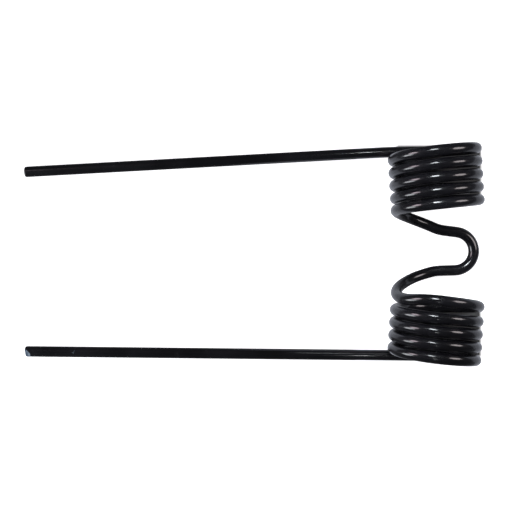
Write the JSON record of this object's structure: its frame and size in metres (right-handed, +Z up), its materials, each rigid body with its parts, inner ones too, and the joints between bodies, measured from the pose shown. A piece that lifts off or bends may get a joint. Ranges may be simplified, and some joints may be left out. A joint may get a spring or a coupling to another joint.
{
  "type": "torsion spring",
  "caption": "Double torsion spring: one round wire wound into two coils of opposite hand, joined by a U-shaped mounting loop, with two long straight legs.",
  "frame": {"origin": "on the ground plane at the centre of the U-shaped loop between the coils, where a clamping bolt stands", "axes": "+Z up, square to the plane that the spring lies on; +X points out of the coils through the closed end of the loop, and the legs run out along -X; +Y runs across, to the coil that is wound right-handed"},
  "size_m": [0.2142, 0.1012, 0.042],
  "materials": {
    "black_enamel": "gloss black enamel"
  },
  "bodies": {
    "root": {"spring_wire": "black_enamel"}
  },
  "joints": []
}
